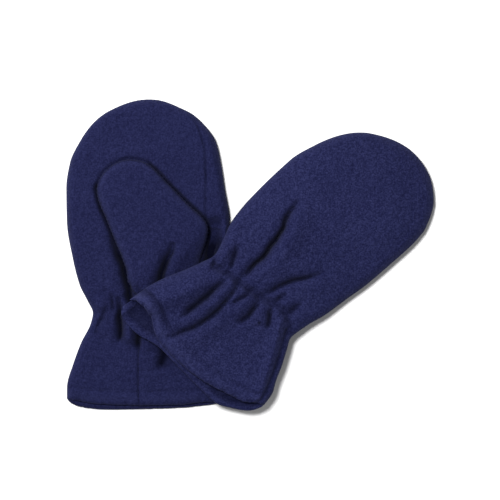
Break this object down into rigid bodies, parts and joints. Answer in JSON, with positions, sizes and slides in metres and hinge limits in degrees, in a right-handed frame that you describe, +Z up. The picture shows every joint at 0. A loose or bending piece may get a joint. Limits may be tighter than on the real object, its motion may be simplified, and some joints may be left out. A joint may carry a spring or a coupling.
{
  "type": "pair of fleece mittens",
  "caption": "Pair of plain fleece mittens with gathered wrists and folded thumbs, one lying palm up and the other back up across its cuff.",
  "frame": {"origin": "middle of the pair's footprint on the surface it lies on", "axes": "+Z up, +Y along the right mitten from its cuff to its fingertips, +X across towards the left mitten's fingertips"},
  "size_m": [0.307, 0.2611, 0.043],
  "materials": {
    "fleece": "matte brushed fleece, navy",
    "elastic": "knitted elastic braid, dark navy",
    "thread": "spun polyester sewing thread, navy"
  },
  "bodies": {
    "right_mitten": {"right_back_panel": "fleece", "right_palm_panel": "fleece", "right_heel_panel": "fleece", "right_wrist_elastic": "elastic", "right_side_seam_thread": "thread", "right_palm_seam_thread": "thread", "right_elastic_thread": "thread", "right_hem_thread": "thread"},
    "right_thumb": {"right_thumb_front": "fleece", "right_thumb_back": "fleece", "right_thumb_seam_thread": "thread"},
    "left_mitten": {"left_back_panel": "fleece", "left_palm_panel": "fleece", "left_heel_panel": "fleece", "left_wrist_elastic": "elastic", "left_side_seam_thread": "thread", "left_palm_seam_thread": "thread", "left_elastic_thread": "thread", "left_hem_thread": "thread"},
    "left_thumb": {"left_thumb_front": "fleece", "left_thumb_back": "fleece", "left_thumb_seam_thread": "thread"}
  },
  "joints": [
    {"name": "right_thumb_fold", "type": "hinge", "parent": "right_mitten", "child": "right_thumb", "pos_m": [-0.06765, 0.0012, 0.0343], "axis": [0.7792, 0.6268, 0], "range_deg": [0, 75]},
    {"name": "left_mitten_lift", "type": "slide", "parent": "right_mitten", "child": "left_mitten", "axis": [0, 0, 1], "range_m": [0, 0.15]},
    {"name": "left_thumb_fold", "type": "hinge", "parent": "left_mitten", "child": "left_thumb", "pos_m": [0.04937, -0.00235, 0.0004], "axis": [-0.9912, 0.132, 0], "range_deg": [0, 75]}
  ],
  "couplings": [
    {"joint": "left_thumb_fold", "follows": "left_mitten_lift", "rad_per_m": 8}
  ]
}
